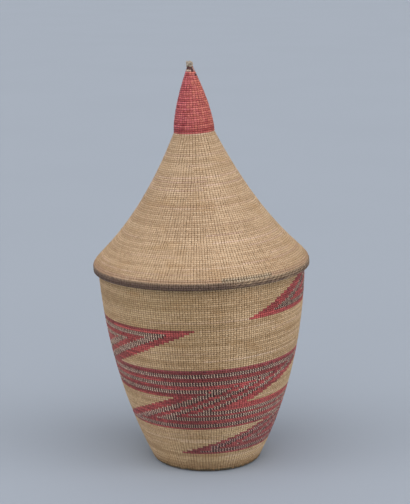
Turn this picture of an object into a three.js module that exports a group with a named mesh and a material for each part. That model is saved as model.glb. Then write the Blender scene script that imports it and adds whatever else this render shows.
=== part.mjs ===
// Lidded basket, coiled from sisal: a body that widens from a small flat base
// to its mouth, and a tall flaring lid that drops over a collar in the mouth.
//
// Millimetres, +Z up. The origin is the middle of the underside of the base.
// Every piece is turned about an upright axis first. Then the whole basket is
// leaned, because a hand-coiled basket leans and its rounds run a little uphill.

import * as THREE from 'three';

// Base and heel
const startRadius = 4.5; // the knot of coil that the base is begun with
const baseThickness = 2.4;
const heelRound = 3.2; // radius of the rounded edge between base and wall
const heelWidth = 4.6; // from the wall's foot in to the flat spiral

// Body wall
const wallThickness = 2.0;
const footRadius = 41.2; // outside of the wall where it leaves the heel
const bellyInset = 3.5; // the wall's curve is drawn out towards a point this
const bellyHeight = 68.2; // far inside the mouth's radius, and this high
const mouthRadius = 76.2;
const mouthHeight = 147.6;
const mouthCoilHeight = 3.2; // the last rounds, a little fatter than the rest
const mouthCoilBulge = 0.4;
const bandFrom = 38; // heights between which the dyed pattern is densest
const bandTo = 88;

// Collar inside the mouth, which keeps the lid from sliding off
const collarDepth = 11; // how far it reaches down inside the wall
const collarRise = 8.4; // how far it stands above the mouth
const collarThickness = 1.8;
const collarTaper = 1.9; // how far its top edge leans inwards

// Lid
const lidThickness = 2.0;
const lidSeatWidth = 2.8; // width of the flat edge that rests on the mouth
const rimCoilCount = 3; // dark rounds along the lid's edge
const rimCoilHeight = 1.3;
const rimCoilWidth = 2.3;
const rimDrop = 1.3; // how far the dark rounds hang below the lid's seat
const shoulderRise = 6.1; // the flare sets out straight up, this far at most,
const hollowInset = 30.7; // and then bends in towards a point this far inside
const hollowRise = 21.3; // the rim's radius and this far above the rim
const neckRadius = 14.8; // where the dyed tip begins
const neckRise = 95; // from the rim up to the dyed tip
const flareRise = 38.6; // from the rim up to where the flare becomes the neck
const tipBendRise = 16.1; // the tip too sets out straight up, this far at most
const tipRadius = 2.7;
const tipLength = 46.8;
const startRounds = 6.4; // height of the first tight rounds at the very top
const knotRadius = 2.6;
const knotHeight = 4.2;

// Clearances
const roundGap = 0.3; // between courses of coil that touch
const collarGap = 0.3; // between the collar's foot and the wall
const seatGap = 0.3; // between the lid and the mouth that it rests on
const rimGap = 0.3; // between the dark rounds and the lid's edge
const rimPlay = 0.6; // between the dark rounds and the mouth that they hang over

// Lean of the finished basket
const tipLean = 12.5; // how far the top has gone over towards -X
const leanPower = 1.6; // above 1, the lean sets in above the base
const rimTilt = 0.034; // slope of the rounds at the lid's rim
const tiltPower = 0.6;

// Facets
const facetsAround = 48;
const facetsAroundKnot = 16;
const coilSides = 8;
const heelSteps = 3;
const lowerSteps = 4;
const bandSteps = 5;
const upperSteps = 4;
const flareSteps = 6;
const neckSteps = 5;
const tipSteps = 5;
const startSteps = 3;
const knotSteps = 4;

// Turns of the search for a height along a curve
const searchTurns = 40;
const refineTurns = 4;

// Places worked out from the sizes above
const standRadius = footRadius - heelWidth - roundGap;
const bellyRadius = mouthRadius - bellyInset;
const rimRadius = mouthRadius + mouthCoilBulge / 2 + rimPlay + rimCoilWidth;
const mouthCoilFrom = mouthHeight - mouthCoilHeight;
const seatHeight = mouthHeight + seatGap;
const rimFrom = seatHeight - rimDrop;
const rimTop = rimFrom + rimCoilCount * (rimCoilHeight + roundGap);
const flareTo = rimTop + flareRise;
const neckHeight = rimTop + neckRise;
const tipHeight = neckHeight + tipLength;
const startFrom = tipHeight - startRounds;
const fullHeight = tipHeight + roundGap + knotHeight;

// Colours of the strands
const colours = {
  naturalBody: 0xb39a6c,
  naturalLid: 0xc4a67e,
  dyedBand: 0x8c4a50,
  darkRim: 0x5c5052,
  redTip: 0xb5484f,
  inside: 0xa88f63,
  paleFibre: 0xcdbd98,
};

// Outside curves of the body and the lid, each a point for a share from 0 to 1

const wallCurve = new THREE.QuadraticBezierCurve(
  new THREE.Vector2(footRadius, heelRound),
  new THREE.Vector2(bellyRadius, bellyHeight),
  new THREE.Vector2(mouthRadius, mouthHeight),
);

const slopeCurve = new THREE.CubicBezierCurve(
  new THREE.Vector2(rimRadius, rimTop),
  new THREE.Vector2(rimRadius, rimTop + shoulderRise),
  new THREE.Vector2(rimRadius - hollowInset, rimTop + hollowRise),
  new THREE.Vector2(neckRadius, neckHeight),
);

const tipCurve = new THREE.QuadraticBezierCurve(
  new THREE.Vector2(neckRadius, neckHeight),
  new THREE.Vector2(neckRadius, neckHeight + tipBendRise),
  new THREE.Vector2(tipRadius, tipHeight),
);

// Share of the way along a curve at which it reaches a height
function shareAt(curve, height) {
  let low = 0;
  let high = 1;
  for (let turn = 0; turn < searchTurns; turn += 1) {
    const middle = (low + high) / 2;
    if (curve.getPoint(middle).y < height) low = middle;
    else high = middle;
  }
  return (low + high) / 2;
}

// Point beside a curve, inwards by a distance measured across the wall
function besideCurve(curve, share, inwards) {
  const point = curve.getPoint(share);
  const along = curve.getTangent(share);
  return new THREE.Vector2(point.x - along.y * inwards, point.y + along.x * inwards);
}

// Radius of the curve at a height, less the wall
function radiusAt(curve, height, inwards = 0) {
  let share = shareAt(curve, height);
  for (let turn = 0; turn < refineTurns; turn += 1) {
    const reached = besideCurve(curve, share, inwards);
    share = shareAt(curve, curve.getPoint(share).y + height - reached.y);
  }
  return besideCurve(curve, share, inwards).x;
}

// Closed outline of a stretch of wall between two heights, with level ends
function wallOutline(curve, from, to, thickness, steps) {
  const outside = [];
  const inside = [];
  for (let step = 0; step <= steps; step += 1) {
    const height = THREE.MathUtils.lerp(from, to, step / steps);
    outside.push(new THREE.Vector2(radiusAt(curve, height), height));
    inside.unshift(new THREE.Vector2(radiusAt(curve, height, thickness), height));
  }
  return [...outside, ...inside];
}

// Round section of one coil, as wide and as high as asked
function coilOutline(middleRadius, middleHeight, width, height) {
  const outline = [];
  const turn = (2 * Math.PI) / coilSides;
  const reach = 1 / Math.cos(turn / 2);
  for (let side = 0; side < coilSides; side += 1) {
    const angle = (side - 0.5) * turn;
    outline.push(new THREE.Vector2(
      middleRadius + Math.cos(angle) * reach * width / 2,
      middleHeight + Math.sin(angle) * reach * height / 2,
    ));
  }
  return outline;
}

// Leans a finished shape: each level goes over towards -X and tilts with it
function lean(geometry) {
  const places = geometry.getAttribute('position');
  for (let index = 0; index < places.count; index += 1) {
    const x = places.getX(index);
    const z = places.getZ(index);
    const shift = tipLean * Math.max(z / fullHeight, 0) ** leanPower;
    const tilt = rimTilt * Math.max(z / rimTop, 0) ** tiltPower;
    places.setX(index, x - shift);
    places.setZ(index, z + tilt * x);
  }
  return geometry;
}

// Turns an outline about the axis. Its points run up the outside, in across
// the top and down the inside, and a solid's start and end on the axis.
function turned(name, outline, colour, facets = facetsAround, roughness = 0.85) {
  const hollow = outline.every((point) => point.x > 0);
  const points = hollow ? [...outline, outline[0].clone()] : outline;
  const geometry = new THREE.LatheGeometry(points, facets);
  geometry.rotateX(Math.PI / 2);
  const material = new THREE.MeshStandardMaterial({ color: colour, roughness, metalness: 0 });
  const mesh = new THREE.Mesh(lean(geometry), material);
  mesh.name = name;
  return mesh;
}

// Body of the basket

function baseStart() {
  return turned('base_start', [
    new THREE.Vector2(0, 0),
    new THREE.Vector2(startRadius, 0),
    new THREE.Vector2(startRadius, baseThickness),
    new THREE.Vector2(0, baseThickness),
  ], colours.naturalBody);
}

function baseDisc() {
  const inner = startRadius + roundGap;
  return turned('base_disc', [
    new THREE.Vector2(inner, 0),
    new THREE.Vector2(standRadius, 0),
    new THREE.Vector2(standRadius, baseThickness),
    new THREE.Vector2(inner, baseThickness),
  ], colours.naturalBody);
}

function heelCoil() {
  const inner = footRadius - heelWidth;
  const outline = [new THREE.Vector2(inner, 0)];
  for (let step = 0; step <= heelSteps; step += 1) {
    const angle = (step / heelSteps) * (Math.PI / 2);
    outline.push(new THREE.Vector2(
      footRadius - heelRound + Math.sin(angle) * heelRound,
      heelRound - Math.cos(angle) * heelRound,
    ));
  }
  outline.push(new THREE.Vector2(inner, heelRound));
  return turned('heel_coil', outline, colours.naturalBody);
}

function wallCourse(name, from, to, steps, colour) {
  return turned(name, wallOutline(wallCurve, from, to, wallThickness, steps), colour);
}

function mouthCoil() {
  const middle = mouthCoilFrom + mouthCoilHeight / 2;
  const width = wallThickness + mouthCoilBulge;
  const middleRadius = mouthRadius + mouthCoilBulge / 2 - width / 2;
  return turned('mouth_coil', coilOutline(middleRadius, middle, width, mouthCoilHeight), colours.naturalBody);
}

function seatCollar() {
  const foot = mouthHeight - collarDepth;
  const top = mouthHeight + collarRise;
  const inWall = (height) => radiusAt(wallCurve, height, wallThickness) - collarGap;
  const footRadiusOutside = inWall(foot);
  const topRadiusOutside = inWall(mouthCoilFrom) - collarTaper;
  return turned('seat_collar', [
    new THREE.Vector2(footRadiusOutside, foot),
    new THREE.Vector2(topRadiusOutside, top),
    new THREE.Vector2(topRadiusOutside - collarThickness, top),
    new THREE.Vector2(footRadiusOutside - collarThickness, foot),
  ], colours.inside);
}

// Lid

function rimCoil(number) {
  const middle = rimFrom + (number - 0.5) * (rimCoilHeight + roundGap);
  const middleRadius = rimRadius - rimCoilWidth / 2;
  const outline = coilOutline(middleRadius, middle, rimCoilWidth, rimCoilHeight);
  return turned(`lid_rim_coil_${number}`, outline, colours.darkRim);
}

function lidFlare() {
  const edge = rimRadius - rimCoilWidth - rimGap;
  const from = rimTop + roundGap;
  const slope = wallOutline(slopeCurve, from, flareTo - roundGap / 2, lidThickness, flareSteps);
  const inside = slope.slice(flareSteps + 1);
  inside[inside.length - 1] = new THREE.Vector2(edge - lidSeatWidth, from);
  return turned('lid_flare', [
    new THREE.Vector2(edge, seatHeight),
    new THREE.Vector2(edge, from),
    ...slope.slice(0, flareSteps + 1),
    ...inside,
    new THREE.Vector2(edge - lidSeatWidth, seatHeight),
  ], colours.naturalLid);
}

function lidNeck() {
  const from = flareTo + roundGap / 2;
  const to = neckHeight - roundGap / 2;
  return turned('lid_neck', wallOutline(slopeCurve, from, to, lidThickness, neckSteps), colours.naturalLid);
}

function lidTip() {
  const from = neckHeight + roundGap / 2;
  return turned('lid_tip', wallOutline(tipCurve, from, startFrom, lidThickness, tipSteps), colours.redTip);
}

function tipStart() {
  const outline = [new THREE.Vector2(0, startFrom + roundGap)];
  for (let step = 0; step <= startSteps; step += 1) {
    const height = THREE.MathUtils.lerp(startFrom + roundGap, tipHeight, step / startSteps);
    outline.push(new THREE.Vector2(radiusAt(tipCurve, height), height));
  }
  outline.push(new THREE.Vector2(0, tipHeight));
  return turned('tip_start', outline, colours.redTip);
}

function tipKnot() {
  const outline = [];
  for (let step = 0; step <= knotSteps; step += 1) {
    const angle = (step / knotSteps) * Math.PI;
    outline.push(new THREE.Vector2(
      Math.sin(angle) * knotRadius,
      fullHeight - knotHeight * (1 + Math.cos(angle)) / 2,
    ));
  }
  outline[knotSteps].x = 0;
  return turned('tip_knot', outline, colours.paleFibre, facetsAroundKnot);
}

const body = new THREE.Group();
body.add(
  baseStart(),
  baseDisc(),
  heelCoil(),
  wallCourse('wall_lower', heelRound + roundGap, bandFrom - roundGap / 2, lowerSteps, colours.naturalBody),
  wallCourse('wall_band', bandFrom + roundGap / 2, bandTo - roundGap / 2, bandSteps, colours.dyedBand),
  wallCourse('wall_upper', bandTo + roundGap / 2, mouthCoilFrom - roundGap, upperSteps, colours.naturalBody),
  mouthCoil(),
  seatCollar(),
);

const lid = new THREE.Group();
for (let number = 1; number <= rimCoilCount; number += 1) lid.add(rimCoil(number));
lid.add(lidFlare(), lidNeck(), lidTip(), tipStart(), tipKnot());

const basket = new THREE.Group();
basket.add(body, lid);

export default basket;
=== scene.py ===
import math

import bpy
import numpy as np
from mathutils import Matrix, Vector


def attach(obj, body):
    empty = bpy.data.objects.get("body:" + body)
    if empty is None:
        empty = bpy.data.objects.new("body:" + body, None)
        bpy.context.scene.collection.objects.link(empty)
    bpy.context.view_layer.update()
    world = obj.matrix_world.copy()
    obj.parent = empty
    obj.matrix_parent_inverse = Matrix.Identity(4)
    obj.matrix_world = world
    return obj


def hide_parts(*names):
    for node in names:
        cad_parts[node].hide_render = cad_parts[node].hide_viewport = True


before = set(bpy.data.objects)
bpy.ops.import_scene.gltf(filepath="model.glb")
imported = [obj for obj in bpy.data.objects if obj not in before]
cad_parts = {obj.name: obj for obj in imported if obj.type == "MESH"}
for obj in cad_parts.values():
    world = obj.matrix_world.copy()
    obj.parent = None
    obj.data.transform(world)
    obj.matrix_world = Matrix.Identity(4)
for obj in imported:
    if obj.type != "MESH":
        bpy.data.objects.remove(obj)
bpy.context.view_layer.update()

# Everything is in metres. The basket is coiled round an upright axis first, every
# stitch on its own, and then leaned as the frame's solids are.
mm = 0.001
fullTurn = 2 * math.pi
dice = np.random.default_rng(47)     # for each stitch's own unevenness

# Lean of the finished basket, as in the frame
lean = {"tipLean": 12.5 * mm, "power": 1.6, "fullHeight": 297.7 * mm,
        "rimTilt": 0.034, "rimTop": 151.4 * mm, "tiltPower": 0.6}

# Outline of body and lid, as in the frame
bodyShape = {"baseThickness": 2.4 * mm, "footRadius": 41.2 * mm,
             "heelRound": 3.2 * mm, "heelFrom": -90, "heelTo": -22,      # degrees of the turn at the heel
             "bellyRadius": 72.7 * mm, "bellyHeight": 68.2 * mm,
             "mouthRadius": 76.2 * mm, "mouthHeight": 147.6 * mm, "wall": 2.0 * mm,
             "baseSteps": 60, "heelSteps": 12, "wallSteps": 400}
lidShape = {"rimRadius": 79.3 * mm, "rimTop": 151.4 * mm, "rimLap": 0.2 * mm, "shoulderRise": 6.1 * mm,
            "hollowInset": 30.7 * mm, "hollowRise": 21.3 * mm,
            "neckRadius": 14.8 * mm, "neckHeight": 246.4 * mm, "tipBendRise": 16.1 * mm,
            "tipRadius": 2.3 * mm, "tipHeight": 293.2 * mm, "wall": 2.0 * mm,
            "seatRadius": 75.3 * mm, "seatHeight": 149.0 * mm, "tipSteps": 200, "slopeSteps": 400}

# The coil and its stitches. Across is through the wall, along is from round to round.
coil = {"pitch": 1.55 * mm, "stitchPitch": 1.9 * mm, "seam": math.pi / 2,
        "coreAcross": 0.74 * mm, "coreAlong": 0.72 * mm, "coreSides": 5, "coreSteps": 120,
        "coreLeastRadius": 0.8 * mm, "flattest": 0.1}
# gapDirtAndShade and grooveDirtAndShade weights set how much dirt and painted shade darken the gaps between
# stitches and the grooves between rounds
plainStitch = {"across": 0.97 * mm, "along": 0.72 * mm, "bite": 0.18 * mm, "square": 2.1,
               "thickness": 0.26 * mm, "width": 1.0, "crown": 0.79, "slant": 0.06 * mm,
               "wobble": 0.05, "uneven": 0.035, "astray": 0.02, "gapDirtAndShade": 0.95, "grooveDirtAndShade": 1.0}
slantStitch = {**plainStitch, "slant": 0.26 * mm, "width": 0.97, "uneven": 0.1, "wobble": 0.08}
tipStitch = {**plainStitch, "bite": 0.1 * mm, "crown": 0.97, "slant": 0.0, "gapDirtAndShade": 0.12}


def bezier(points, steps):
    # Points of a Bezier curve, whatever its degree
    share = np.linspace(0, 1, steps)[:, None, None]
    level = np.array(points, float)[None].repeat(steps, 0)
    while level.shape[1] > 1:
        level = level[:, :-1] * (1 - share) + level[:, 1:] * share
    return level[:, 0]


def arc(centre, radius, fromDegrees, toDegrees, steps):
    angle = np.radians(np.linspace(fromDegrees, toDegrees, steps))
    return np.stack([centre[0] + radius * np.cos(angle), centre[1] + radius * np.sin(angle)], 1)


outlineSight = 0.4 * mm      # an outline's direction is taken so far ahead and behind
samePoint = 1e-7


class Outline:
    # The line that the coil's middle follows, from the first round to the last
    def __init__(self, points, outwards):
        points = np.array(points, float)
        steps = np.linalg.norm(np.diff(points, axis=0), axis=1)
        self.points = points[np.append(True, steps > samePoint)]
        self.reach = np.append(0, np.cumsum(np.linalg.norm(np.diff(self.points, axis=0), axis=1)))
        self.length = self.reach[-1]
        self.outwards = outwards

    def point(self, place):
        return [np.interp(place, self.reach, self.points[:, part]) for part in (0, 1)]

    def at(self, place):
        # Radius and height there, and the direction along the outline
        place = np.asarray(place, float)
        radius, height = self.point(place)
        aheadRadius, aheadHeight = self.point(np.minimum(place + outlineSight, self.length))
        behindRadius, behindHeight = self.point(np.maximum(place - outlineSight, 0))
        size = np.hypot(aheadRadius - behindRadius, aheadHeight - behindHeight)
        alongRadius = (aheadRadius - behindRadius) / size
        alongHeight = (aheadHeight - behindHeight) / size
        past = np.maximum(place - self.length, 0) + np.minimum(place, 0)
        return radius + past * alongRadius, height + past * alongHeight, alongRadius, alongHeight


def insideOf(points, distance, outwards):
    # The same line, moved in from the wall's outer face
    along = np.gradient(points, axis=0)
    along /= np.linalg.norm(along, axis=1)[:, None]
    return points - distance * outwards * np.stack([along[:, 1], -along[:, 0]], 1)


def bodyOutline():
    b = bodyShape
    heelCentre = (b["footRadius"] - b["heelRound"], b["heelRound"])
    heelRadius = b["heelRound"] - b["baseThickness"] / 2
    base = bezier([(0.0, b["baseThickness"] / 2), (heelCentre[0], b["baseThickness"] / 2)], b["baseSteps"])
    heel = arc(heelCentre, heelRadius, b["heelFrom"], b["heelTo"], b["heelSteps"])
    wall = bezier([(b["footRadius"], b["heelRound"]), (b["bellyRadius"], b["bellyHeight"]),
                   (b["mouthRadius"], b["mouthHeight"])], b["wallSteps"])
    return Outline(np.concatenate([base, heel, insideOf(wall, b["wall"] / 2, 1)]), 1)


def lidOutline():
    lid = lidShape
    half = lid["wall"] / 2
    rim = (lid["rimRadius"], lid["rimTop"])
    shoulder = (rim[0], rim[1] + lid["shoulderRise"])
    hollow = (rim[0] - lid["hollowInset"], rim[1] + lid["hollowRise"])
    neck = (lid["neckRadius"], lid["neckHeight"])
    bend = (neck[0], neck[1] + lid["tipBendRise"])
    slope = bezier([neck, hollow, shoulder, rim], lid["slopeSteps"])
    tip = bezier([(lid["tipRadius"], lid["tipHeight"]), bend, neck], lid["tipSteps"])
    line = insideOf(np.concatenate([tip, slope[1:]]), half, -1)
    line = line[line[:, 1] > rim[1] - lid["rimLap"]]
    top = [(0.0, lid["tipHeight"] - half)]
    seat = [(lid["seatRadius"], lid["seatHeight"])]
    return Outline(np.concatenate([top, line, seat]), -1)


def leaned(places):
    # Each level goes over towards -X and tilts with it
    height = np.maximum(places[..., 2], 0)
    shift = lean["tipLean"] * (height / lean["fullHeight"]) ** lean["power"]
    tilt = lean["rimTilt"] * (height / lean["rimTop"]) ** lean["tiltPower"]
    out = places.copy()
    out[..., 0] = places[..., 0] - shift
    out[..., 2] = places[..., 2] + tilt * places[..., 0]
    return out


def spun(radius, angle, height):
    # Places at these angles round the leaning basket
    return leaned(np.stack([radius * np.cos(angle), radius * np.sin(angle), height], -1))


def withinHalfTurn(degrees):
    # The same angle, between -180 and 180
    return np.mod(degrees + 180, 360) - 180


# Rounds of stitches. A maker adds stitches where the gaps grow, and the columns ease apart there.
growth = {"guess": 0.8, "easings": 3, "ease": 0.3}     # widths of gaps are guessed, down to this share
# One leaf strip sews a stretch of stitches, and the next strip has another tone
strands = {"shortest": 12, "longest": 60, "middle": 0.5, "grain": 0.17, "roundSpread": 0.08,
           "leastOther": 0.4}


def grownColumns(columns, wanted, draws):
    while len(columns) < wanted:
        gaps = np.diff(np.append(columns, columns[0] + fullTurn))
        widest = int(np.argmax(gaps * draws.uniform(growth["guess"], 1.0, len(gaps))))
        columns = np.insert(columns, widest + 1, columns[widest] + gaps[widest] / 2)
    for _ in range(growth["easings"]):
        ahead = np.append(columns[1:], columns[0] + fullTurn)
        behind = np.append(columns[-1] - fullTurn, columns[:-1])
        columns = columns + growth["ease"] * ((ahead + behind) / 2 - columns)
    return columns


def middleOf(start, number):
    # Place of a round's middle along the outline
    return start + (number + 0.5) * coil["pitch"]


def coiledStitches(outline, start, rounds, firstCount, rowLean, draws):
    # Every stitch of a spiral of rounds: its angle, its place along the outline, its round and its room
    parts = []
    columns = np.linspace(0, fullTurn, firstCount, endpoint=False)
    for number in range(rounds):
        radius, height, _, alongHeight = (float(value) for value in outline.at(middleOf(start, number)))
        wanted = max(firstCount, round(fullTurn * radius / coil["stitchPitch"]))
        columns = grownColumns(columns, wanted, draws)
        angle = columns + coil["seam"]
        place = start + (number + np.mod(columns, fullTurn) / fullTurn) * coil["pitch"]
        tilt = np.interp(height, rowLean[0], rowLean[1])
        if tilt:
            place = place + tilt * radius * np.cos(angle) / alongHeight
        span = np.diff(np.append(columns, columns[0] + fullTurn)) * radius
        parts.append((angle, place, np.full(len(columns), number), span))
    keys = ("angle", "place", "round", "span")
    return {key: np.concatenate(values) for key, values in zip(keys, zip(*parts))}


def chosen(stitches, mask):
    return {key: values[mask] for key, values in stitches.items()}


def strandRuns(count, draws):
    # The stretches that are sewn with one strip each
    reached = 0
    while reached < count:
        run = int(draws.integers(strands["shortest"], strands["longest"]))
        yield slice(reached, reached + run)
        reached += run


def strandTones(stitches, spread, draws):
    count = len(stitches["angle"])
    tones = np.empty(count)
    for run in strandRuns(count, draws):
        tones[run] = draws.normal(strands["middle"], spread)
    rounds = draws.normal(0, strands["roundSpread"], int(stitches["round"].max()) + 1)
    return np.clip(tones + rounds[stitches["round"]] + draws.normal(0, strands["grain"], count), 0, 1)


def strandLots(stitches, chance, draws):
    # Now and then a strip comes from another, paler bundle of leaves
    lots = np.zeros(len(stitches["angle"]))
    for run in strandRuns(len(lots), draws):
        if draws.uniform() < chance:
            lots[run] = draws.uniform(strands["leastOther"], 1.0)
    return lots


def begun(outline, work):
    # A spiral of stitches up to the outline's end, sewn strip by strip
    rounds = int(outline.length / coil["pitch"])
    start = outline.length - rounds * coil["pitch"]
    draws = np.random.default_rng(work["strandSeed"])
    stitches = coiledStitches(outline, start, rounds, work["firstCount"], work["rowLean"], draws)
    stitches["tone"] = strandTones(stitches, work["strandSpread"], draws)
    return rounds, start, stitches, draws


def soiledAndShaded(stitches, soilAndShade, work, draws):
    # Dirt with painted shade near the foot or the lid's edge, and painted shade deeper in the grooves on the
    # left
    stitches["soilAndShade"] = soilAndShade * (1 + draws.normal(0, work["soilAndShadeSpread"], len(soilAndShade)))
    # painted shade in the grooves, deeper on the left
    stitches["groove"] = 1 - work["grooveShadeLeft"] * np.cos(stitches["angle"])


def sheenAndShade(degrees, stretches):
    # Painted highlight and shade in stretches round the basket, paler where the lamps' sheen falls and darker
    # between, each a soft hump: its middle, half width and amount
    tone = np.zeros(len(degrees))
    for middle, halfWidth, amount in stretches:
        tone += amount * np.exp(-(withinHalfTurn(degrees - middle) / halfWidth) ** 2)
    return tone


# Mesh of the stitches. Each is one strip of leaf round the coil, bitten into the round before.
strip = {"loopDegrees": [90, 50, 15, -20, -55, -90, -150, 150],
         "sides": [-1, -1, 1, 1],                                  # foot, crown, crown, foot
         "rises": [-1, 1, 1, -1],
         "mapAcross": [0, 0.16, 0.74, 0.9, 1.0], "mapMargin": 0.06, "mapShape": 0.8,
         "loopGrimeAndShade": [1.0, 0.5, 0.0, 0.0, 0.7, 1.0, 1.0, 1.0],    # dirt and painted shade in the grooves between rounds
         "sideGrimeAndShade": [1.0, 0.0, 0.0, 1.0], "faintestGroove": 0.55,      # and between neighbouring stitches
         "swell": (-0.2, 0.08), "slantSpread": 0.3, "leastRadius": 1.2 * mm}


def perStitch(values):
    return values[:, None, None]


def layered(parts, shape):
    return np.stack([np.broadcast_to(part, shape) for part in parts], -1).reshape(-1, 3)


def loopShape(cut):
    # A rounded square round the coil, and the way that it faces at each corner
    turns = np.radians(strip["loopDegrees"])
    power = 2 / cut["square"]
    cosine = np.cos(turns)
    sine = np.sin(turns)
    alongSize = np.where(sine < 0, cut["along"] + cut["bite"], cut["along"])
    across = cut["across"] * np.sign(cosine) * np.abs(cosine) ** power
    along = alongSize * np.sign(sine) * np.abs(sine) ** power
    acrossFace = np.sign(cosine) * np.abs(cosine) ** (2 - power) / cut["across"]
    alongFace = np.sign(sine) * np.abs(sine) ** (2 - power) / alongSize
    size = np.hypot(acrossFace, alongFace)
    return [values[None, :, None] for values in (across, along, acrossFace / size, alongFace / size)]


def stripFaces(count, outwards):
    # Faces between neighbouring loops and sides, and each stitch's own cell of the map
    loops = len(strip["loopDegrees"])
    sides = len(strip["sides"])
    first = perStitch(np.arange(count) * loops * sides)
    loop, side = np.meshgrid(np.arange(loops), np.arange(sides), indexing="ij")
    corners = [(loop, side), (loop + 1, side), (loop + 1, side + 1), (loop, side + 1)]
    faces = np.stack([first + (a % loops * sides + b % sides)[None] for a, b in corners], -1).reshape(-1, 4)
    u = np.stack([np.array(strip["mapAcross"])[b] for _, b in corners], -1)
    v = np.stack([a for a, _ in corners], -1) / loops
    margin = strip["mapMargin"]
    cellsAcross = max(1, math.ceil(math.sqrt(count * strip["mapShape"])))
    cellsUp = math.ceil(count / cellsAcross)
    cell = np.arange(count)[:, None, None, None]
    u = (cell % cellsAcross + margin + (1 - 2 * margin) * u[None]) / cellsAcross
    v = (cell // cellsAcross + margin + (1 - 2 * margin) * v[None]) / cellsUp
    mapPlaces = np.stack([u, v], -1).reshape(-1, 4, 2)
    if outwards > 0:
        return faces[:, ::-1], mapPlaces[:, ::-1]
    return faces, mapPlaces


def stitchMesh(outline, stitches, cut):
    count = len(stitches["angle"])
    across, along, acrossFace, alongFace = loopShape(cut)
    side = np.array(strip["sides"])[None, None]
    rise = np.array(strip["rises"])[None, None]
    lift = rise * cut["thickness"] / 2
    narrow = np.where(rise > 0, cut["crown"], 1.0)
    swell = 1 + np.clip(dice.normal(0, cut["wobble"], (count, 1, 1)), *strip["swell"])
    wide = stitches["span"] * stitches.get("share", 1.0) * cut["width"]
    wide = perStitch(wide * (1 + dice.normal(0, cut["uneven"], count)))
    slant = cut["slant"] * (1 + dice.normal(0, strip["slantSpread"], (count, 1, 1)))
    astray = dice.normal(0, cut["astray"], (count, 1, 1)) * perStitch(stitches["span"])
    sideways = side * narrow * wide / 2 - slant * (along / cut["along"]) + astray
    loopAcross = (across + lift * acrossFace) * swell
    loopAlong = along + lift * alongFace

    radius, height, alongRadius, alongHeight = (perStitch(values) for values in outline.at(stitches["place"]))
    atRadius = radius + outline.outwards * alongHeight * loopAcross + alongRadius * loopAlong
    atHeight = height - outline.outwards * alongRadius * loopAcross + alongHeight * loopAlong
    turned = perStitch(stitches["angle"]) + sideways / np.maximum(radius, strip["leastRadius"])
    faces, mapPlaces = stripFaces(count, outline.outwards)

    # Where a point lies on its strip, and the strip's tone, dirt with painted shade, and dye
    shape = atRadius.shape
    upStrip = (np.arange(shape[1]) / shape[1])[None, :, None]
    weave = layered([side * narrow / 2, upStrip, dice.uniform(0, 1, (count, 1, 1))], shape)
    # Darkening in the grooves and gaps: dirt together with painted shade
    grimeAndShade = np.maximum(cut["grooveDirtAndShade"] * np.array(strip["loopGrimeAndShade"])[None, :, None],
                       cut["gapDirtAndShade"] * np.array(strip["sideGrimeAndShade"])[None, None])
    grooves = perStitch(stitches.get("groove", np.ones(count)))
    grooves = dice.uniform(strip["faintestGroove"], 1.0, (count, 1, 1)) * grooves
    grimeAndShade = np.maximum(grimeAndShade * grooves, perStitch(stitches["soilAndShade"]))
    tone = layered([perStitch(stitches["tone"]), grimeAndShade, perStitch(stitches["dye"])], shape)
    return {"places": spun(atRadius, turned, atHeight).reshape(-1, 3), "faces": faces, "map": mapPlaces,
            "weave": weave, "tone": tone}


def meshObject(name, made, finish):
    mesh = bpy.data.meshes.new(name)
    corners = made["faces"].shape[1]
    mesh.vertices.add(len(made["places"]))
    mesh.vertices.foreach_set("co", made["places"].astype(np.float32).ravel())
    mesh.loops.add(made["faces"].size)
    mesh.loops.foreach_set("vertex_index", made["faces"].astype(np.int32).ravel())
    mesh.polygons.add(len(made["faces"]))
    mesh.polygons.foreach_set("loop_start", np.arange(0, made["faces"].size, corners, dtype=np.int32))
    mesh.update(calc_edges=True)
    mesh.shade_smooth()
    unfolded = mesh.uv_layers.new(name="OFBake")
    unfolded.data.foreach_set("uv", made["map"].astype(np.float32).ravel())
    for key in ("tone", "weave"):
        attribute = mesh.attributes.new(key, "FLOAT_VECTOR", "POINT")
        attribute.data.foreach_set("vector", made[key].astype(np.float32).ravel())
    mesh.materials.append(finish)
    piece = bpy.data.objects.new(name, mesh)
    bpy.context.scene.collection.objects.link(piece)
    return piece


def settle(piece, body, slot, nodes):
    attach(piece, body)
    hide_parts(*nodes)


mostStitches = 2900    # in one piece, so that no piece's mesh gets too heavy


def sewn(name, outline, stitches, cut, finish, body, slot, nodes):
    count = len(stitches["angle"])
    parts = max(1, math.ceil(count / mostStitches))
    for part in range(parts):
        mask = np.zeros(count, bool)
        mask[part * count // parts:(part + 1) * count // parts] = True
        label = name if parts == 1 else f"{name}_{part + 1}"
        piece = meshObject(label, stitchMesh(outline, chosen(stitches, mask), cut), finish)
        settle(piece, body, slot, nodes)
    print(f"{name}: {count} stitches in {parts} pieces")


def sewnInPairs(name, outline, stitches, cut, pale, finishes, body, nodes):
    # Each stitch is a pale strip beside a dark one, and pale is the first one's share
    radius = outline.at(stitches["place"])[0]
    halves = (("pale", "pale_fibre", (pale - 1) / 2, pale), ("dark", "dark_rim", pale / 2, 1 - pale))
    for (label, slot, offset, share), finish in zip(halves, finishes):
        angle = stitches["angle"] + offset * stitches["span"] / radius
        half = {**stitches, "angle": angle, "share": share + np.zeros(len(angle))}
        sewn(f"{name}_{label}", outline, half, cut, finish, body, slot, nodes)


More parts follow.
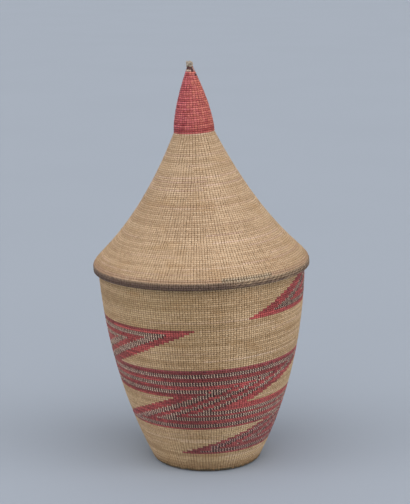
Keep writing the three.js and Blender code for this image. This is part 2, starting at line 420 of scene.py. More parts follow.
# Dyed zigzag. A ribbon of seven lanes runs down round the basket: level bars joined by
# slanting ones, folded where they meet. Degrees go round from +X, and the front is -90.
# Each list runs down the ribbon, in degrees or in millimetres.
evenLanes = [0.14, 0.29, 0.43, 0.57, 0.71, 0.86]
zigzag = {
    "rightFold": [-258, -177, -94, 12, 95, 147],
    "rightNotch": [-319, -229, -152, -62, 16, 99],
    "leftNotch": [-371, -286, -207, -107.5, -40, 49],
    "leftFold": [-425, -338, -263, -176, -117, -3],
    "barTop": [172, 142, 116.4, 86.3, 57.8, 33, 4.5],
    "barFoot": [152, 121.5, 94.2, 65.5, 38.3, 16.2, -11],
    "redTip": [0, 0, 0, 0, 30, 0],      # so far from its left fold a slant is red right across
    # Between the lanes of each bar and each slant, as shares of its height or width
    "barEdges": [evenLanes, evenLanes, [0.15, 0.26, 0.42, 0.56, 0.7, 0.85], evenLanes,
                 [0.23, 0.385, 0.46, 0.615, 0.77, 0.923], [0.14, 0.29, 0.43, 0.57, 0.71, 0.91]],
    "slantEdges": [[0.14, 0.28, 0.42, 0.56, 0.69, 0.82], [0.14, 0.28, 0.42, 0.57, 0.71, 0.86],
                   [0.14, 0.27, 0.37, 0.5, 0.64, 0.81], [0.19, 0.3, 0.425, 0.535, 0.65, 0.81],
                   [0.18, 0.33, 0.48, 0.63, 0.76, 0.9], [0.14, 0.28, 0.42, 0.57, 0.71, 0.86]],
    "lotHeight": [0, 33, 40, 58, 83.8, 84.4, 87, 90],       # some lots of the dye are more purple
    "lotPurple": [1.0, 0.9, 0.45, 0.2, 0.3, 1.0, 1.0, 0.0],
}


def lineAt(height, lowHeight, lowAngle, highHeight, highAngle):
    share = (height - lowHeight) / (highHeight - lowHeight)
    return lowAngle + (highAngle - lowAngle) * share


def ribbonLanes(degrees, height):
    # The lane of the ribbon at each place, counted from its upper edge, or -1 off the ribbon
    z = zigzag
    lanes = np.full(len(degrees), -1)
    for lap in (-360, 0):
        angle = degrees + lap
        for k, (rightTop, leftFoot) in enumerate(zip(z["rightFold"], z["leftFold"])):
            top, nextTop = z["barTop"][k:k + 2]
            foot, nextFoot = z["barFoot"][k:k + 2]
            barRight = lineAt(height, foot, z["leftNotch"][k], top, rightTop)
            if k > 0:
                barLeft = lineAt(height, foot, z["leftFold"][k - 1], top, z["rightNotch"][k - 1])
                inBar = (height >= foot) & (height < top) & (angle >= barLeft) & (angle < barRight)
                lanes[inBar] = np.searchsorted(z["barEdges"][k], (top - height[inBar]) / (top - foot))
            rightEdge = lineAt(height, nextTop, z["rightNotch"][k], top, rightTop)
            leftEdge = lineAt(height, nextFoot, leftFoot, foot, z["leftNotch"][k])
            nextBarLeft = lineAt(height, nextFoot, leftFoot, nextTop, z["rightNotch"][k])
            fromAngle = np.where(height > foot, barRight, leftEdge)
            toAngle = np.where(height < nextTop, nextBarLeft, rightEdge)
            inSlant = (height >= nextFoot) & (height < top) & (angle >= fromAngle) & (angle < toAngle)
            share = (rightEdge - angle) / (rightEdge - leftEdge)
            lanes[inSlant] = np.searchsorted(z["slantEdges"][k], share[inSlant])
            lanes[inSlant & (angle < leftFoot + z["redTip"][k])] = 0
    return lanes


# Shader maths

class Strand:
    # A socket that can be added, subtracted and multiplied
    def __init__(self, paint, socket):
        self.paint = paint
        self.socket = socket

    def maths(self, operation, first, second):
        return self.paint.node("ShaderNodeMath", {"operation": operation}, {0: first, 1: second})

    def __add__(self, other):
        return self.maths("ADD", self, other)

    def __radd__(self, other):
        return self.maths("ADD", other, self)

    def __sub__(self, other):
        return self.maths("SUBTRACT", self, other)

    def __rsub__(self, other):
        return self.maths("SUBTRACT", other, self)

    def __mul__(self, other):
        return self.maths("MULTIPLY", self, other)

    def __rmul__(self, other):
        return self.maths("MULTIPLY", other, self)


class Paint:
    # The nodes of one material or of the room's world
    def __init__(self, owner):
        owner.use_nodes = True
        self.owner = owner
        self.tree = owner.node_tree
        self.tree.nodes.clear()

    def node(self, kind, settings=None, inputs=None, output=0):
        made = self.tree.nodes.new(kind)
        for key, value in (settings or {}).items():
            setattr(made, key, value)
        for key, value in (inputs or {}).items():
            if isinstance(value, Strand):
                self.tree.links.new(value.socket, made.inputs[key])
            else:
                made.inputs[key].default_value = value
        return Strand(self, made.outputs[output]) if len(made.outputs) else None

    def blend(self, share, first, second):
        first, second = (value if isinstance(value, Strand) else (*value, 1) for value in (first, second))
        return self.node("ShaderNodeMix", {"data_type": "RGBA"}, {0: share, 6: first, 7: second}, 2)

    def stretch(self, vector, amounts):
        return self.node("ShaderNodeVectorMath", {"operation": "MULTIPLY"}, {0: vector, 1: amounts})

    def grade(self, value, low, high, toLow=0.0, toHigh=1.0):
        return self.node("ShaderNodeMapRange", {}, {"Value": value, "From Min": low, "From Max": high,
                                                    "To Min": toLow, "To Max": toHigh})

    def noise(self, vector, scale, detail, roughness=0.5):
        return self.node("ShaderNodeTexNoise", {}, {"Vector": vector, "Scale": scale, "Detail": detail,
                                                    "Roughness": roughness})

    def surface(self, sockets):
        shader = self.node("ShaderNodeBsdfPrincipled", {}, sockets)
        self.node("ShaderNodeOutputMaterial", {}, {"Surface": shader})
        return self.owner


def shade(red, green, blue):
    # A colour named by its values on screen, from 0 to 255, as the light that it stands for
    values = []
    for value in (red, green, blue):
        value /= 255
        values.append(value / 12.92 if value <= 0.04045 else ((value + 0.055) / 1.055) ** 2.4)
    return tuple(values)


# How any strip of leaf is drawn, whatever its colours
leaf = {"fibreStretch": (9.0, 2.0, 160.0), "fibreScale": 1.6, "fibreDetail": 3.0, "fibreRoughness": 0.6,
        "fibreRange": (0.3, 0.7), "patchDetail": 4.0, "patchRange": (0.42, 0.68),
        "stainStretch": (1.0, 1.0, 2.6), "stainDetail": 3.0, "stainRange": (0.55, 0.75),
        "groundSoilAndShadeRange": (1.3, 1.9), "rougher": 0.12, "smoother": 0.08, "grimeAndShadeRoughness": 0.12,
        "bumpStrength": 0.35, "bumpDepth": 0.08 * mm}


def sisal(name, look):
    # A strip of leaf: its tone changes with the strand, dirt and painted shade lie in the grooves,
    # its edges get painted shade, and fine fibres run along it. The second pair of colours is another lot of
    # dye.
    colours = {key: shade(*value) for key, value in look.items() if isinstance(value, tuple)}
    paint = Paint(bpy.data.materials.new(name))
    marks = paint.node("ShaderNodeAttribute", {"attribute_name": "tone"}, {}, 1)
    weave = paint.node("ShaderNodeAttribute", {"attribute_name": "weave"}, {}, 1)
    place = paint.node("ShaderNodeTexCoord", {}, {}, "Object")
    tone, grimeAndShade, dye = (paint.node("ShaderNodeSeparateXYZ", {}, {0: marks}, part) for part in range(3))
    edge = paint.node("ShaderNodeSeparateXYZ", {}, {0: weave}, 0)
    fibres = paint.noise(paint.stretch(weave, leaf["fibreStretch"]), leaf["fibreScale"], leaf["fibreDetail"],
                         leaf["fibreRoughness"])
    patches = paint.noise(place, look["patchScale"], leaf["patchDetail"])
    stains = paint.noise(paint.stretch(place, leaf["stainStretch"]), look["stainScale"], leaf["stainDetail"])
    patchShare = paint.grade(patches, *leaf["patchRange"], 0.0, look["patchStrength"])
    stainShare = paint.grade(stains, *leaf["stainRange"], 0.0, look["stainStrength"])
    streakShare = paint.grade(fibres, *leaf["fibreRange"], look["streak"], 0.0)

    colour = paint.blend(tone, colours["deep"], colours["pale"])
    colour = paint.blend(dye, colour, paint.blend(tone, colours["otherDeep"], colours["otherPale"]))
    colour = paint.blend(patchShare, colour, colours["patch"])
    colour = paint.blend(stainShare, colour, colours["stain"])
    # Painted shade: the strip's edges darker, as if it curved away from the light
    colour = paint.blend(edge * edge * (4 * look["edgeShadeStrength"]), colour, colours["deep"])
    colour = paint.blend(streakShare, colour, colours["fibre"])
    # Dirt and painted shade darken the grooves; near the ground the mix turns to the colour of soil and
    # painted contact shadow
    soilAndShade = paint.blend(paint.grade(grimeAndShade, *leaf["groundSoilAndShadeRange"]), colours["grimeAndShade"], colours["groundSoilAndShade"])
    colour = paint.blend(grimeAndShade * look["grimeAndShadeStrength"], colour, soilAndShade)
    rough = paint.grade(fibres, *leaf["fibreRange"], look["rough"] + leaf["rougher"],
                        look["rough"] - leaf["smoother"])
    rough = rough + grimeAndShade * leaf["grimeAndShadeRoughness"]
    bump = paint.node("ShaderNodeBump", {}, {"Strength": leaf["bumpStrength"], "Distance": leaf["bumpDepth"],
                                             "Height": fibres})
    return paint.surface({"Base Color": colour, "Roughness": rough, "Normal": bump,
                          "Specular IOR Level": look["shine"]})


naturalBody = {"pale": (228, 196, 156), "deep": (178, 146, 108), "otherPale": (238, 208, 178),
               "otherDeep": (196, 162, 130),
               "patch": (190, 168, 124), "patchScale": 14.0, "patchStrength": 0.35,
               "stain": (182, 140, 90), "stainScale": 42.0, "stainStrength": 0.55,
               # the edge strength paints shade on the strips' edges
               "fibre": (162, 130, 90), "streak": 0.3, "edgeShadeStrength": 0.5,
               # the grime colour is dirt with painted shade in the grooves; the ground colour is soil with
               # painted contact shadow at the foot
               "grimeAndShade": (122, 86, 46), "grimeAndShadeStrength": 0.57, "groundSoilAndShade": (90, 80, 62),
               "rough": 0.46, "shine": 0.5}
naturalLid = {**naturalBody, "pale": (232, 203, 169), "deep": (192, 161, 129), "otherPale": (240, 210, 186),
              "otherDeep": (190, 156, 134), "patch": (203, 174, 138), "stain": (196, 158, 112),
              "fibre": (172, 140, 104), "grimeAndShade": (140, 103, 64), "grimeAndShadeStrength": 0.35}
dyedRed = {**naturalBody, "pale": (224, 101, 97), "deep": (136, 54, 53), "otherPale": (174, 86, 90),
           "otherDeep": (100, 46, 52), "patch": (178, 108, 94), "stain": (128, 56, 58),
           "fibre": (128, 54, 56), "grimeAndShade": (84, 42, 42), "grimeAndShadeStrength": 0.45}
tipRed = {**naturalBody, "pale": (255, 142, 150), "deep": (154, 46, 58), "otherPale": (255, 164, 136),
          "otherDeep": (162, 76, 60), "patch": (200, 84, 84), "stain": (152, 68, 68),
          # the tip's dark grooves between rounds are painted shade as well as dirt
          "fibre": (152, 64, 64), "grimeAndShade": (100, 40, 42), "grimeAndShadeStrength": 0.8}
darkStrand = {**naturalBody, "pale": (108, 56, 52), "deep": (52, 26, 24), "otherPale": (106, 58, 66),
              "otherDeep": (60, 32, 38), "patch": (78, 48, 46), "stain": (60, 36, 34),
              "fibre": (54, 34, 32), "grimeAndShade": (50, 30, 30)}
paleStrand = {**naturalBody, "pale": (255, 230, 204), "deep": (206, 174, 152), "otherPale": (206, 152, 152),
              "otherDeep": (150, 100, 104), "patch": (212, 184, 162), "stain": (190, 160, 138),
              "fibre": (166, 138, 118), "grimeAndShade": (104, 74, 64)}
rimPale = {**naturalBody, "pale": (244, 226, 198), "deep": (190, 168, 140), "otherPale": (244, 226, 198),
           "otherDeep": (190, 168, 140), "patch": (204, 184, 154), "stain": (200, 178, 148),
           "fibre": (176, 154, 126), "grimeAndShade": (92, 74, 58)}
knotFibre = {**rimPale, "pale": (224, 214, 200), "deep": (160, 148, 134), "patch": (178, 166, 150),
             "streak": 0.5}
rimStrand = {**naturalBody, "pale": (152, 123, 107), "deep": (78, 57, 46), "otherPale": (218, 188, 150),
             "otherDeep": (150, 120, 90), "patch": (112, 88, 75), "stain": (88, 67, 55),
             "fibre": (80, 60, 50), "grimeAndShade": (58, 42, 33)}
coilGrass = {**naturalBody, "pale": (176, 144, 104), "deep": (138, 108, 74), "patch": (136, 112, 78),
             "stain": (116, 90, 60), "fibre": (104, 80, 54), "shine": 0.2}
insideSisal = {**naturalBody, "pale": (214, 184, 144), "deep": (172, 142, 104)}

bodySisal = sisal("sisal_body", naturalBody)
lidSisal = sisal("sisal_lid", naturalLid)
redSisal = sisal("sisal_red", dyedRed)
tipSisal = sisal("sisal_tip", tipRed)
darkSisal = sisal("sisal_dark", darkStrand)
paleSisal = sisal("sisal_pale", paleStrand)
rimSisal = sisal("sisal_rim", rimStrand)
rimPaleSisal = sisal("sisal_rim_pale", rimPale)
knotSisal = sisal("sisal_knot", knotFibre)
grass = sisal("coil_grass", coilGrass)
collarSisal = sisal("sisal_inside", insideSisal)


# Core of the coil, which shows as a dark line between the stitches

tube = {"endShare": 0.02, "ringsPerColumn": 40, "sideMargin": 0.05, "endMargin": 0.002,
        "fibreStep": 0.25, "ownStep": 0.137, "toneMiddle": 0.5, "toneSwing": 0.25, "toneStep": 0.21}


def coreMesh(outline, start, rounds, rowLean, thin=1.0):
    turns = np.arange(rounds * coil["coreSteps"] + 1) / coil["coreSteps"]
    angle = coil["seam"] + np.mod(turns, 1) * fullTurn
    place = start + turns * coil["pitch"]
    radius, height, _, alongHeight = outline.at(place)
    tilt = np.interp(height, rowLean[0], rowLean[1])
    safe = np.where(np.abs(alongHeight) > coil["flattest"], alongHeight, 1.0)
    place = place + np.where(tilt == 0, 0, tilt * radius * np.cos(angle) / safe)
    radius, height, alongRadius, alongHeight = (values[:, None] for values in outline.at(place))
    around = np.linspace(0, fullTurn, coil["coreSides"], endpoint=False)[None]
    across = coil["coreAcross"] * thin * np.cos(around)
    along = coil["coreAlong"] * np.sin(around)
    radius = np.maximum(radius, coil["coreLeastRadius"])
    atRadius = radius + outline.outwards * alongHeight * across + alongRadius * along
    atHeight = height - outline.outwards * alongRadius * across + alongHeight * along
    return tubeOf(spun(atRadius, angle[:, None], atHeight), outline.outwards > 0)


def tubeOf(rings, flip=False, closed=False):
    # A tube through rings of points, with its ends drawn in unless it is closed
    if not closed:
        ends = []
        for ring in (rings[:1], rings[-1:]):
            middle = ring.mean(1, keepdims=True).repeat(rings.shape[1], 1)
            ends.append(middle + (ring - middle) * tube["endShare"])
        rings = np.concatenate([ends[0], rings, ends[1]])
    count, sides = rings.shape[:2]
    ring, side = np.meshgrid(np.arange(count if closed else count - 1), np.arange(sides), indexing="ij")
    corners = [(ring, side), (ring, side + 1), (ring + 1, side + 1), (ring + 1, side)]
    faces = np.stack([a % count * sides + b % sides for a, b in corners], -1).reshape(-1, 4)

    # The map's strips stand side by side, and each holds a stretch of rings
    columns = max(1, round(math.sqrt(count / tube["ringsPerColumn"])))
    perColumn = math.ceil(count / columns)
    column = (ring // perColumn)[..., None]
    u = np.stack([side, side + 1, side + 1, side], -1) / sides
    v = np.stack([ring, ring, ring + 1, ring + 1], -1)
    v = np.where(v // perColumn > column, perColumn, v % perColumn) / perColumn
    u = (column + tube["sideMargin"] + (1 - 2 * tube["sideMargin"]) * u) / columns
    v = tube["endMargin"] + (1 - 2 * tube["endMargin"]) * v
    mapPlaces = np.stack([u, v], -1).reshape(-1, 4, 2)
    if flip:
        faces = faces[:, ::-1]
        mapPlaces = mapPlaces[:, ::-1]

    number = np.repeat(np.arange(count), sides)
    along = number * tube["fibreStep"]
    around = np.tile(np.arange(sides) / sides, count)
    weave = np.stack([around, along % 1, np.floor(along) * tube["ownStep"] % 1], -1)
    tone = tube["toneMiddle"] + tube["toneSwing"] * np.sin(number * tube["toneStep"])
    marks = np.stack([tone, np.zeros_like(tone), np.zeros_like(tone)], -1)
    return {"places": rings.reshape(-1, 3), "faces": faces, "map": mapPlaces, "weave": weave, "tone": marks}


def laid(name, made, finish, body, slot, nodes):
    settle(meshObject(name, made, finish), body, slot, nodes)
    print(f"{name}: a tube of {len(made['faces'])} faces")


# Body of the basket

bodyWork = {"firstCount": 5, "strandSeed": 5, "strandSpread": 0.3, "otherLot": 0.14, "grooveShadeLeft": 0.3,
            "wallSlope": 0.35, "lowerTop": 38 * mm, "bandTop": 88 * mm,
            "paleShare": ([20, 50], [0.44, 0.52]),         # by how many degrees it is from the front
            "paleShareHigh": ([112, 122], [0.0, -0.2]),    # and by how high it is, in mm
            # near the ground the soil values are dirt with painted contact shadow, by height in mm
            "soilAndShadeHeight": [0, 1.5, 3, 6, 12], "soilAndShade": [2.2, 2.0, 1.2, 0.6, 0.0], "soilAndShadeSpread": 0.12,
            # painted highlight bands right and left of the front, painted shade at the front
            "purpleSpread": 0.15, "sheenAndShade": [(-95, 18, -0.34), (-64, 10, 0.22), (-124, 9, 0.12)],
            "rowLean": ([8 * mm, 38 * mm, 90 * mm, 147 * mm], [0.0, 0.029, 0.021, 0.0])}


def makeBody():
    outline = bodyOutline()
    work = bodyWork
    rounds, start, stitches, draws = begun(outline, work)
    _, rowHeight, _, rowSlope = outline.at(middleOf(start, stitches["round"]))
    purple = np.interp(rowHeight / mm, zigzag["lotHeight"], zigzag["lotPurple"])
    purple = np.clip(purple + draws.normal(0, work["purpleSpread"], len(purple)), 0, 1)
    onWall = rowSlope > work["wallSlope"]
    degrees = withinHalfTurn(np.degrees(stitches["angle"]))
    lanes = np.where(onWall, ribbonLanes(degrees, rowHeight / mm), -1)
    natural = lanes < 0
    grey = ~natural & (np.mod(lanes, 2) == 1)
    stitches["dye"] = np.where(natural, strandLots(stitches, work["otherLot"], draws), purple)
    # painted highlight and shade bands in the tone
    stitches["tone"] = np.clip(stitches["tone"] + sheenAndShade(degrees, work["sheenAndShade"]), 0, 1)
    # dirt and painted contact shadow near the ground
    soiledAndShaded(stitches, np.interp(rowHeight / mm, work["soilAndShadeHeight"], work["soilAndShade"]), work, draws)

    lower = rowHeight < work["lowerTop"]
    upper = rowHeight >= work["bandTop"]
    courses = (("base", ~onWall, ["base_start", "base_disc", "heel_coil"]),
               ("wall_lower", onWall & lower, ["wall_lower"]),
               ("wall_band", onWall & ~lower & ~upper, ["wall_band"]),
               ("wall_upper", onWall & upper, ["wall_upper", "mouth_coil"]))
    for name, mask, nodes in courses:
        sewn(f"{name}_sisal", outline, chosen(stitches, mask & natural), plainStitch, bodySisal,
             "basket", "natural_sisal", nodes)
    dyed = ["wall_lower", "wall_band", "wall_upper"]
    sewn("zigzag_red", outline, chosen(stitches, ~natural & ~grey), plainStitch, redSisal,
         "basket", "dyed_band", dyed)
    paleShare = np.interp(np.abs(degrees[grey] + 90), *work["paleShare"])
    paleShare = paleShare + np.interp(rowHeight[grey] / mm, *work["paleShareHigh"])
    sewnInPairs("zigzag", outline, chosen(stitches, grey), slantStitch, paleShare,
                (paleSisal, darkSisal), "basket", dyed)
    laid("body_coil", coreMesh(outline, start, rounds, work["rowLean"]), grass, "basket", "inner_sisal", dyed)


# Collar inside the mouth

collarWork = {"footHeight": 136.6 * mm, "topHeight": 156.0 * mm,
              "footRadius": 72.4 * mm, "topRadius": 71.0 * mm, "steps": 40,
              "columnSeed": 9, "strandSeed": 10, "strandSpread": 0.25, "coreThin": 0.8,
              "rowLean": ([0.0, 1.0], [0.0, 0.0])}
collarStitch = {**plainStitch, "across": 0.82 * mm}


def makeCollar():
    c = collarWork
    line = [(c["footRadius"], c["footHeight"]), (c["topRadius"], c["topHeight"])]
    outline = Outline(bezier(line, c["steps"]), 1)
    rounds = int(outline.length / coil["pitch"])
    start = (outline.length - rounds * coil["pitch"]) / 2
    count = round(fullTurn * c["footRadius"] / coil["stitchPitch"])
    draws = np.random.default_rng(c["columnSeed"])
    stitches = coiledStitches(outline, start, rounds, count, c["rowLean"], draws)
    stitches["tone"] = strandTones(stitches, c["strandSpread"], np.random.default_rng(c["strandSeed"]))
    stitches["dye"] = np.zeros(len(stitches["angle"]))
    stitches["soilAndShade"] = np.zeros(len(stitches["angle"]))
    sewn("seat_collar_sisal", outline, stitches, collarStitch, collarSisal,
         "basket", "inner_sisal", ["seat_collar"])
    laid("collar_coil", coreMesh(outline, start, rounds, c["rowLean"], c["coreThin"]), grass,
         "basket", "inner_sisal", ["seat_collar"])


# Lid. Its edge is sewn in two tones along one stretch, and its tip is specked.

lidWork = {"firstCount": 12, "strandSeed": 21, "strandSpread": 0.25, "otherLot": 0.14, "grooveShadeLeft": 0.4,
           "rowLean": ([152 * mm, 225 * mm, 250 * mm, 294 * mm], [0.0, 0.03, 0.045, 0.03]),
           "orangeSpread": 0.2, "tipRoundGlintSpread": 0.13,
           "speckHeight": 289.5 * mm, "speckChance": 0.75, "darkSpecks": 0.55,
           "trailHeight": 276 * mm, "trailDegrees": -24, "trailHalf": 24, "trailChance": 0.1,
           # on the lid the soil values are painted shade along its lower edge, weaker at the front, and in
           # the groove above the rim
           "soilAndShadeRise": [0, 4, 9, 20], "soilAndShade": [0.8, 0.75, 0.5, 0.0], "soilAndShadeSide": 0.7, "soilAndShadeSpread": 0.12,
           # painted highlight bands beside the front, painted shade at the front and towards the sides
           "sheenAndShade": [(-97, 10, -0.1), (-68, 11, 0.18), (-124, 11, 0.08), (-155, 16, -0.12), (-34, 14, -0.15)],
           "edgeRise": 2.2 * mm, "edgeTone": -0.45, "edgeLot": 0.9, "edgeSoilAndShade": 0.3,
           "pairsFrom": -79, "pairsTo": -51, "pairsPale": 0.7, "pairsLight": 0.8, "pairsRise": 1.6 * mm}
edgeStitch = {**plainStitch, "slant": 0.3 * mm, "crown": 0.86, "gapDirtAndShade": 0.5}


def makeLid():
    outline = lidOutline()
    work = lidWork
    rounds, start, stitches, draws = begun(outline, work)
    count = len(stitches["angle"])
    rowHeight = outline.at(middleOf(start, stitches["round"]))[1]
    rise = rowHeight - lidShape["rimTop"]
    degrees = withinHalfTurn(np.degrees(stitches["angle"]))
    tip = rowHeight > lidShape["neckHeight"]
    edge = rise < work["edgeRise"]

    # Its tip is more orange towards the right, and its edge is darker
    orange = 0.5 + 0.5 * np.cos(stitches["angle"]) + draws.normal(0, work["orangeSpread"], count)
    lots = strandLots(stitches, work["otherLot"], draws)
    lots[edge] = work["edgeLot"]
    stitches["dye"] = np.where(tip, np.clip(orange, 0, 1), lots)
    # random tone per round on the tip, which also paints glints along its rounds
    tipRoundGlints = draws.normal(0, work["tipRoundGlintSpread"], rounds)[stitches["round"]]
    # away from the tip, painted highlight and shade bands in the tone
    drift = np.where(tip, tipRoundGlints, sheenAndShade(degrees, work["sheenAndShade"]))
    stitches["tone"] = np.clip(stitches["tone"] + drift + edge * work["edgeTone"], 0, 1)
    # painted shade along the lid's lower edge, fading towards the front
    side = 1 - work["soilAndShadeSide"] * np.maximum(-np.sin(stitches["angle"]), 0) ** 2
    soilAndShade = np.maximum(side * np.interp(rise / mm, work["soilAndShadeRise"], work["soilAndShade"]), edge * work["edgeSoilAndShade"])
    soiledAndShaded(stitches, soilAndShade, work, draws)

    twoToned = (rise < work["pairsRise"]) & (degrees > work["pairsFrom"]) & (degrees < work["pairsTo"])
    chance = draws.uniform(0, 1, count)
    inTrail = (rowHeight > work["trailHeight"]) & (np.abs(degrees - work["trailDegrees"]) < work["trailHalf"])
    specked = (rowHeight > work["speckHeight"]) & (chance < work["speckChance"])
    specked |= inTrail & (chance < work["trailChance"])
    darkSpeck = specked & (draws.uniform(0, 1, count) < work["darkSpecks"])
    sewn("lid_sisal", outline, chosen(stitches, ~tip & ~twoToned), plainStitch, lidSisal,
         "lid", "lid_sisal", ["lid_flare", "lid_neck"])
    mixed = chosen(stitches, twoToned)
    mixed["dye"] = np.full(len(mixed["angle"]), work["pairsLight"])
    mixed["soilAndShade"] = np.zeros(len(mixed["angle"]))
    sewnInPairs("lid_edge", outline, mixed, edgeStitch, work["pairsPale"], (rimPaleSisal, rimSisal),
                "lid", ["lid_flare"])
    sewn("lid_tip_red", outline, chosen(stitches, tip & ~specked), tipStitch, tipSisal,
         "lid", "red_tip", ["lid_tip", "tip_start"])
    sewn("tip_specks_dark", outline, chosen(stitches, darkSpeck), plainStitch, darkSisal,
         "lid", "dark_rim", ["tip_start"])
    sewn("tip_specks_pale", outline, chosen(stitches, specked & ~darkSpeck), plainStitch, paleSisal,
         "lid", "pale_fibre", ["tip_start"])
    laid("lid_coil", coreMesh(outline, start, rounds, work["rowLean"]), grass,
         "lid", "inner_sisal", ["lid_flare"])


# Dark rounds along the lid's edge. Longer strips are wound along their right side.

rimWork = {"rounds": 3, "radius": 78.6 * mm, "from": 146.8 * mm, "pitch": 1.6 * mm, "steps": 20, "seed": 33,
           # by round: painted shade on the lowest round, painted highlight on the two above
           "roundHighlightAndShade": [0.05, 0.4, 0.5], "toneSpread": 0.1, "angleSpread": 0.0012, "roundShift": 1.3,
           "lightDegrees": [-180, -140, -128, -95, -78, -66, -44, 4, 22, 180],     # share of paler strips
           "lightShare": ([0, 0, 0, 0, 0, 0.2, 0.35, 0.5, 0.15, 0],
                          [0, 0, 0, 0, 0.1, 0.75, 0.65, 0.5, 0.1, 0],
                          [0.3, 0.3, 0.6, 0.55, 0.45, 1.0, 1.0, 0.85, 0.25, 0.2]),
           "coreAcross": 0.8 * mm, "coreAlong": 0.55 * mm, "coreSteps": 180, "coreSides": 6}
rimStitch = {**plainStitch, "across": 1.0 * mm, "along": 0.76 * mm, "bite": 0.1 * mm, "width": 0.98,
             "square": 2.6, "crown": 0.84, "gapDirtAndShade": 0.9, "grooveDirtAndShade": 0.25}
rimWrap = {**rimStitch, "width": 1.0, "crown": 0.94, "slant": -1.3 * mm, "wobble": 0.08,
           "square": 2.0, "gapDirtAndShade": 0.6, "grooveDirtAndShade": 1.2}
rimStretches = ({"name": "dark", "from": 12, "to": 286, "pitch": 1.7 * mm, "cut": rimStitch,
                 "lightSpread": 0.06, "brighter": 0},
                {"name": "wrapped", "from": -74, "to": 12, "pitch": 4.2 * mm, "cut": rimWrap,
                 "lightSpread": 0.16, "brighter": 0.24})


def makeRim():
    r = rimWork
    line = [(r["radius"], r["from"]), (r["radius"], r["from"] + r["rounds"] * r["pitch"])]
    outline = Outline(bezier(line, r["steps"]), 1)
    draws = np.random.default_rng(r["seed"])
    turns = np.linspace(0, fullTurn, r["coreSteps"], endpoint=False)[:, None]
    around = np.linspace(0, fullTurn, r["coreSides"], endpoint=False)[None]
    for number in range(r["rounds"]):
        node = [f"lid_rim_coil_{number + 1}"]
        middle = (number + 0.5) * r["pitch"]
        for stretch in rimStretches:
            wide = stretch["to"] - stretch["from"]
            reach = math.radians(wide) * r["radius"]
            count = round(reach / stretch["pitch"])
            degrees = stretch["from"] + wide * (np.arange(count) + 0.5) / count
            degrees = degrees + r["roundShift"] * number
            angle = np.radians(degrees) + draws.normal(0, r["angleSpread"], count)
            light = np.interp(withinHalfTurn(degrees), r["lightDegrees"], r["lightShare"][number])
            # painted shade or highlight by round, then random tone
            tone = r["roundHighlightAndShade"][number] + stretch["brighter"] + draws.normal(0, r["toneSpread"], count)
            light = light + draws.normal(0, stretch["lightSpread"], count)
            stitches = {"angle": angle, "place": np.full(count, middle), "round": np.full(count, number),
                        "span": np.full(count, reach / count), "tone": np.clip(tone, 0, 1),
                        "dye": np.clip(light, 0, 1), "soilAndShade": np.zeros(count)}
            sewn(f"rim_{number + 1}_{stretch['name']}", outline, stitches, stretch["cut"], rimSisal,
                 "lid", "dark_rim", node)
        ringRadius = r["radius"] + r["coreAcross"] * np.cos(around)
        ringHeight = (r["from"] + middle + r["coreAlong"] * np.sin(around)).repeat(len(turns), 0)
        laid(f"rim_{number + 1}_coil", tubeOf(spun(ringRadius, turns, ringHeight), True, True), grass,
             "lid", "inner_sisal", node)


# Knot of pale fibre on the tip. Its strand goes through the ring while it goes round it.

knotWork = {"height": 295.2 * mm, "aside": -0.5 * mm, "loopRadius": 1.35 * mm, "windRadius": 0.75 * mm,
            "tall": 2.1, "timesRound": 2, "timesThrough": 3,
            "strand": 0.66 * mm, "plies": 3, "plyDepth": 0.16, "twists": 14, "steps": 220, "sides": 12}


def makeKnot():
    k = knotWork
    turns = np.linspace(0, fullTurn, k["steps"], endpoint=False)
    radius = k["loopRadius"] + k["windRadius"] * np.cos(k["timesThrough"] * turns)
    line = np.stack([radius * np.cos(k["timesRound"] * turns), radius * np.sin(k["timesRound"] * turns),
                     k["tall"] * k["windRadius"] * np.sin(k["timesThrough"] * turns)], -1)
    ahead = np.roll(line, -1, 0) - np.roll(line, 1, 0)
    ahead /= np.linalg.norm(ahead, axis=1)[:, None]
    out = line / np.linalg.norm(line, axis=1)[:, None]
    sideways = np.cross(ahead, out)
    sideways /= np.linalg.norm(sideways, axis=1)[:, None]
    out = np.cross(sideways, ahead)
    around = np.linspace(0, fullTurn, k["sides"], endpoint=False)[None]
    plies = 1 + k["plyDepth"] * np.cos(k["plies"] * (around + turns[:, None] * k["twists"] / k["plies"]))
    thick = k["strand"] * plies[..., None]
    spread = np.cos(around)[..., None] * out[:, None] + np.sin(around)[..., None] * sideways[:, None]
    rings = line[:, None] + thick * spread + np.array([k["aside"], 0, k["height"]])
    laid("knot_of_fibre", tubeOf(leaned(rings), True, True), knotSisal, "lid", "pale_fibre", ["tip_knot"])


# Room: a pale floor, soft light and the camera

room = {"floor": shade(174, 183, 197), "floorSize": 14.0, "floorFade": 0.96, "floorRoughness": 0.95,
        "grainScale": 3.0, "grainDetail": 2.0,
        "world": (0.95, 0.98, 1.0), "worldStrength": 0.04, "backdrop": shade(163, 173, 186)}
lampTint = (1.0, 0.99, 0.97)
lamps = (     # around is in degrees from the camera's side, to the right, and up from the floor
    {"name": "leftLight", "around": -75, "up": 12, "angle": 38, "strength": 1.02},
    {"name": "rightLight", "around": 75, "up": 12, "angle": 38, "strength": 1.32},
    {"name": "frontLight", "around": 0, "up": 50, "angle": 90, "strength": 1.58},
    {"name": "topLight", "around": 0, "up": 89, "angle": 90, "strength": 1.15},
)


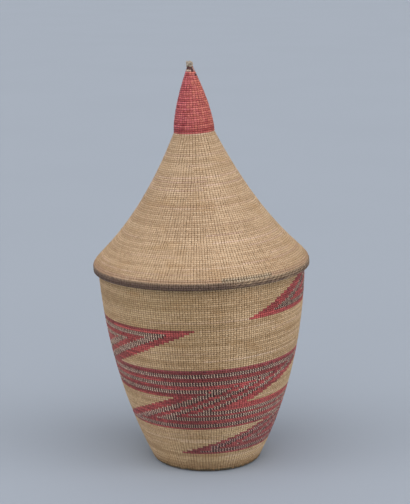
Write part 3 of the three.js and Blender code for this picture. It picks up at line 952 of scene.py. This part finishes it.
def makeRoom():
    size = room["floorSize"]
    corners = [(-size, -size, 0), (size, -size, 0), (size, size, 0), (-size, size, 0)]
    mesh = bpy.data.meshes.new("floor")
    mesh.from_pydata(corners, [], [(0, 1, 2, 3)])
    floor = bpy.data.objects.new("floor", mesh)
    bpy.context.scene.collection.objects.link(floor)
    paper = Paint(bpy.data.materials.new("floor_paper"))
    place = paper.node("ShaderNodeTexCoord", {}, {}, "Object")
    grain = paper.noise(place, room["grainScale"], room["grainDetail"])
    faded = tuple(value * room["floorFade"] for value in room["floor"])
    mesh.materials.append(paper.surface({"Base Color": paper.blend(grain, room["floor"], faded),
                                         "Roughness": room["floorRoughness"], "Specular IOR Level": 0.0}))

    # The camera sees a pale backdrop, and the basket gets a faint light from all sides
    bpy.context.scene.world = bpy.data.worlds.new("room")
    air = Paint(bpy.context.scene.world)
    seen = air.node("ShaderNodeLightPath", {}, {}, "Is Camera Ray")
    light = air.node("ShaderNodeBackground", {}, {0: (*room["world"], 1), 1: room["worldStrength"]})
    backdrop = air.node("ShaderNodeBackground", {}, {0: (*room["backdrop"], 1)})
    mixed = air.node("ShaderNodeMixShader", {}, {0: seen, 1: light, 2: backdrop})
    air.node("ShaderNodeOutputWorld", {}, {0: mixed})

    for lamp in lamps:
        data = bpy.data.lights.new(lamp["name"], "SUN")
        data.angle = math.radians(lamp["angle"])
        data.energy = lamp["strength"]
        data.color = lampTint
        around = math.radians(lamp["around"])
        up = math.radians(lamp["up"])
        aim = Vector((-math.sin(around) * math.cos(up), math.cos(around) * math.cos(up), -math.sin(up)))
        made = bpy.data.objects.new(lamp["name"], data)
        made.rotation_mode = "QUATERNION"
        made.rotation_quaternion = aim.to_track_quat("-Z", "Y")
        bpy.context.scene.collection.objects.link(made)
    print(f"room: a floor and {len(lamps)} lights")


eye = {"place": (-0.0014, -1.07098, 0.39065), "pitchDown": 0.215, "focalPixels": 1483.29,
       "longSidePixels": 504, "sensor": 36.0}


def makeCamera():
    data = bpy.data.cameras.new("camera")
    data.sensor_width = eye["sensor"]
    data.lens = eye["focalPixels"] * eye["sensor"] / eye["longSidePixels"]
    camera = bpy.data.objects.new("camera", data)
    camera.location = eye["place"]
    camera.rotation_euler = (math.pi / 2 - eye["pitchDown"], 0, 0)
    bpy.context.scene.collection.objects.link(camera)
    bpy.context.scene.camera = camera
    print(f"camera: a lens of {data.lens:.1f} mm")


bpy.context.scene.view_settings.view_transform = "Standard"
makeCamera()
makeRoom()
makeBody()
makeCollar()
makeLid()
makeRim()
makeKnot()
